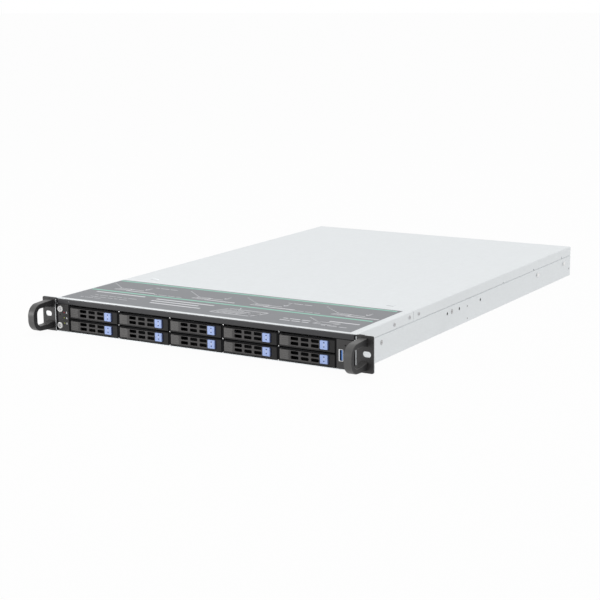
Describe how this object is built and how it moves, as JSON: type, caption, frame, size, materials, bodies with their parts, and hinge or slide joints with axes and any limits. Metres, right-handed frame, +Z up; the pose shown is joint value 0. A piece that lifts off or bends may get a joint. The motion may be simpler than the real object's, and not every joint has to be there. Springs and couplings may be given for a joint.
{
  "type": "rack server",
  "caption": "Slim rack server with hot-swap drive bays behind black vented bezels, rack ears with pull handles, and a two-piece galvanised top.",
  "frame": {"origin": "midway between the two ear slots, on the rear faces of the ears where they meet the rack posts", "axes": "+X to the right seen from the front, +Y from the front to the rear, +Z up"},
  "size_m": [0.4826, 0.7183, 0.0442],
  "materials": {
    "galvanised_steel": "zinc-coated sheet, faint spangle, satin",
    "black_steel": "fine powder coat, satin black",
    "grip_black": "matt black coated aluminium",
    "bezel_plastic": "fine moulded texture, black",
    "blue_plastic": "smooth light blue",
    "button_metal": "satin, turned",
    "connector_metal": "plated shell",
    "circuit_board": "green solder mask",
    "heatsink_metal": "extruded, plain",
    "fan_plastic": "black glass-filled plastic"
  },
  "bodies": {
    "chassis": {"chassis_base": "galvanised_steel", "front_cover": "galvanised_steel", "left_ear": "black_steel", "right_ear": "black_steel", "left_handle": "grip_black", "right_handle": "grip_black", "front_brow": "black_steel", "control_panel": "black_steel", "usb_panel": "black_steel", "control_board": "circuit_board", "usb_port": "connector_metal", "drive_cage": "galvanised_steel", "drive_backplane": "circuit_board", "rear_panel": "galvanised_steel", "fan_wall": "fan_plastic", "motherboard": "circuit_board", "processor_heatsinks": "heatsink_metal", "memory_modules": "circuit_board", "rear_ports": "connector_metal", "power_supply": "galvanised_steel", "riser_and_slot_cover": "galvanised_steel", "rail_studs": "connector_metal"},
    "top_cover": {"top_cover": "galvanised_steel"},
    "power_button": {"power_button": "button_metal"},
    "ident_button": {"ident_button": "button_metal"},
    "tray_01": {"drive_tray_01": "bezel_plastic"},
    "lever_01": {"tray_lever_01": "bezel_plastic"},
    "release_01": {"tray_button_01": "blue_plastic"},
    "tray_02": {"drive_tray_02": "bezel_plastic"},
    "lever_02": {"tray_lever_02": "bezel_plastic"},
    "release_02": {"tray_button_02": "blue_plastic"},
    "tray_03": {"drive_tray_03": "bezel_plastic"},
    "lever_03": {"tray_lever_03": "bezel_plastic"},
    "release_03": {"tray_button_03": "blue_plastic"},
    "tray_04": {"drive_tray_04": "bezel_plastic"},
    "lever_04": {"tray_lever_04": "bezel_plastic"},
    "release_04": {"tray_button_04": "blue_plastic"},
    "tray_05": {"drive_tray_05": "bezel_plastic"},
    "lever_05": {"tray_lever_05": "bezel_plastic"},
    "release_05": {"tray_button_05": "blue_plastic"},
    "tray_06": {"drive_tray_06": "bezel_plastic"},
    "lever_06": {"tray_lever_06": "bezel_plastic"},
    "release_06": {"tray_button_06": "blue_plastic"},
    "tray_07": {"drive_tray_07": "bezel_plastic"},
    "lever_07": {"tray_lever_07": "bezel_plastic"},
    "release_07": {"tray_button_07": "blue_plastic"},
    "tray_08": {"drive_tray_08": "bezel_plastic"},
    "lever_08": {"tray_lever_08": "bezel_plastic"},
    "release_08": {"tray_button_08": "blue_plastic"},
    "tray_09": {"drive_tray_09": "bezel_plastic"},
    "lever_09": {"tray_lever_09": "bezel_plastic"},
    "release_09": {"tray_button_09": "blue_plastic"},
    "tray_10": {"drive_tray_10": "bezel_plastic"},
    "lever_10": {"tray_lever_10": "bezel_plastic"},
    "release_10": {"tray_button_10": "blue_plastic"},
    "fan_rotor_1": {"fan_rotor_1": "fan_plastic"},
    "fan_rotor_2": {"fan_rotor_2": "fan_plastic"},
    "fan_rotor_3": {"fan_rotor_3": "fan_plastic"},
    "fan_rotor_4": {"fan_rotor_4": "fan_plastic"},
    "fan_rotor_5": {"fan_rotor_5": "fan_plastic"}
  },
  "joints": [
    {"name": "cover_slide", "type": "slide", "parent": "chassis", "child": "top_cover", "axis": [0, 1, 0], "range_m": [0, 0.013]},
    {"name": "power_push", "type": "slide", "parent": "chassis", "child": "power_button", "axis": [0, 1, 0], "range_m": [0, 0.001], "stiffness_N_per_m": 400},
    {"name": "ident_push", "type": "slide", "parent": "chassis", "child": "ident_button", "axis": [0, 1, 0], "range_m": [0, 0.001], "stiffness_N_per_m": 400},
    {"name": "tray_slide_01", "type": "slide", "parent": "chassis", "child": "tray_01", "axis": [0, -1, 0], "range_m": [0, 0.13]},
    {"name": "lever_hinge_01", "type": "hinge", "parent": "tray_01", "child": "lever_01", "pos_m": [-0.19412, -0.0008, -0.01205], "axis": [0, 0, -1], "range_deg": [0, 60]},
    {"name": "release_push_01", "type": "slide", "parent": "tray_01", "child": "release_01", "axis": [0, 1, 0], "range_m": [0, 0.0015], "stiffness_N_per_m": 300},
    {"name": "tray_slide_02", "type": "slide", "parent": "chassis", "child": "tray_02", "axis": [0, -1, 0], "range_m": [0, 0.13]},
    {"name": "lever_hinge_02", "type": "hinge", "parent": "tray_02", "child": "lever_02", "pos_m": [-0.19412, -0.0008, 0.00495], "axis": [0, 0, -1], "range_deg": [0, 60]},
    {"name": "release_push_02", "type": "slide", "parent": "tray_02", "child": "release_02", "axis": [0, 1, 0], "range_m": [0, 0.0015], "stiffness_N_per_m": 300},
    {"name": "tray_slide_03", "type": "slide", "parent": "chassis", "child": "tray_03", "axis": [0, -1, 0], "range_m": [0, 0.13]},
    {"name": "lever_hinge_03", "type": "hinge", "parent": "tray_03", "child": "lever_03", "pos_m": [-0.11596, -0.0008, -0.01205], "axis": [0, 0, -1], "range_deg": [0, 60]},
    {"name": "release_push_03", "type": "slide", "parent": "tray_03", "child": "release_03", "axis": [0, 1, 0], "range_m": [0, 0.0015], "stiffness_N_per_m": 300},
    {"name": "tray_slide_04", "type": "slide", "parent": "chassis", "child": "tray_04", "axis": [0, -1, 0], "range_m": [0, 0.13]},
    {"name": "lever_hinge_04", "type": "hinge", "parent": "tray_04", "child": "lever_04", "pos_m": [-0.11596, -0.0008, 0.00495], "axis": [0, 0, -1], "range_deg": [0, 60]},
    {"name": "release_push_04", "type": "slide", "parent": "tray_04", "child": "release_04", "axis": [0, 1, 0], "range_m": [0, 0.0015], "stiffness_N_per_m": 300},
    {"name": "tray_slide_05", "type": "slide", "parent": "chassis", "child": "tray_05", "axis": [0, -1, 0], "range_m": [0, 0.13]},
    {"name": "lever_hinge_05", "type": "hinge", "parent": "tray_05", "child": "lever_05", "pos_m": [-0.0378, -0.0008, -0.01205], "axis": [0, 0, -1], "range_deg": [0, 60]},
    {"name": "release_push_05", "type": "slide", "parent": "tray_05", "child": "release_05", "axis": [0, 1, 0], "range_m": [0, 0.0015], "stiffness_N_per_m": 300},
    {"name": "tray_slide_06", "type": "slide", "parent": "chassis", "child": "tray_06", "axis": [0, -1, 0], "range_m": [0, 0.13]},
    {"name": "lever_hinge_06", "type": "hinge", "parent": "tray_06", "child": "lever_06", "pos_m": [-0.0378, -0.0008, 0.00495], "axis": [0, 0, -1], "range_deg": [0, 60]},
    {"name": "release_push_06", "type": "slide", "parent": "tray_06", "child": "release_06", "axis": [0, 1, 0], "range_m": [0, 0.0015], "stiffness_N_per_m": 300},
    {"name": "tray_slide_07", "type": "slide", "parent": "chassis", "child": "tray_07", "axis": [0, -1, 0], "range_m": [0, 0.13]},
    {"name": "lever_hinge_07", "type": "hinge", "parent": "tray_07", "child": "lever_07", "pos_m": [0.04036, -0.0008, -0.01205], "axis": [0, 0, -1], "range_deg": [0, 60]},
    {"name": "release_push_07", "type": "slide", "parent": "tray_07", "child": "release_07", "axis": [0, 1, 0], "range_m": [0, 0.0015], "stiffness_N_per_m": 300},
    {"name": "tray_slide_08", "type": "slide", "parent": "chassis", "child": "tray_08", "axis": [0, -1, 0], "range_m": [0, 0.13]},
    {"name": "lever_hinge_08", "type": "hinge", "parent": "tray_08", "child": "lever_08", "pos_m": [0.04036, -0.0008, 0.00495], "axis": [0, 0, -1], "range_deg": [0, 60]},
    {"name": "release_push_08", "type": "slide", "parent": "tray_08", "child": "release_08", "axis": [0, 1, 0], "range_m": [0, 0.0015], "stiffness_N_per_m": 300},
    {"name": "tray_slide_09", "type": "slide", "parent": "chassis", "child": "tray_09", "axis": [0, -1, 0], "range_m": [0, 0.13]},
    {"name": "lever_hinge_09", "type": "hinge", "parent": "tray_09", "child": "lever_09", "pos_m": [0.11852, -0.0008, -0.01205], "axis": [0, 0, -1], "range_deg": [0, 60]},
    {"name": "release_push_09", "type": "slide", "parent": "tray_09", "child": "release_09", "axis": [0, 1, 0], "range_m": [0, 0.0015], "stiffness_N_per_m": 300},
    {"name": "tray_slide_10", "type": "slide", "parent": "chassis", "child": "tray_10", "axis": [0, -1, 0], "range_m": [0, 0.13]},
    {"name": "lever_hinge_10", "type": "hinge", "parent": "tray_10", "child": "lever_10", "pos_m": [0.11852, -0.0008, 0.00495], "axis": [0, 0, -1], "range_deg": [0, 60]},
    {"name": "release_push_10", "type": "slide", "parent": "tray_10", "child": "release_10", "axis": [0, 1, 0], "range_m": [0, 0.0015], "stiffness_N_per_m": 300},
    {"name": "fan_spin_1", "type": "hinge", "parent": "chassis", "child": "fan_rotor_1", "pos_m": [-0.168, 0.168, 0.00015], "axis": [0, 1, 0], "continuous": true},
    {"name": "fan_spin_2", "type": "hinge", "parent": "chassis", "child": "fan_rotor_2", "pos_m": [-0.084, 0.168, 0.00015], "axis": [0, 1, 0], "continuous": true},
    {"name": "fan_spin_3", "type": "hinge", "parent": "chassis", "child": "fan_rotor_3", "pos_m": [0, 0.168, 0.00015], "axis": [0, 1, 0], "continuous": true},
    {"name": "fan_spin_4", "type": "hinge", "parent": "chassis", "child": "fan_rotor_4", "pos_m": [0.084, 0.168, 0.00015], "axis": [0, 1, 0], "continuous": true},
    {"name": "fan_spin_5", "type": "hinge", "parent": "chassis", "child": "fan_rotor_5", "pos_m": [0.168, 0.168, 0.00015], "axis": [0, 1, 0], "continuous": true}
  ]
}
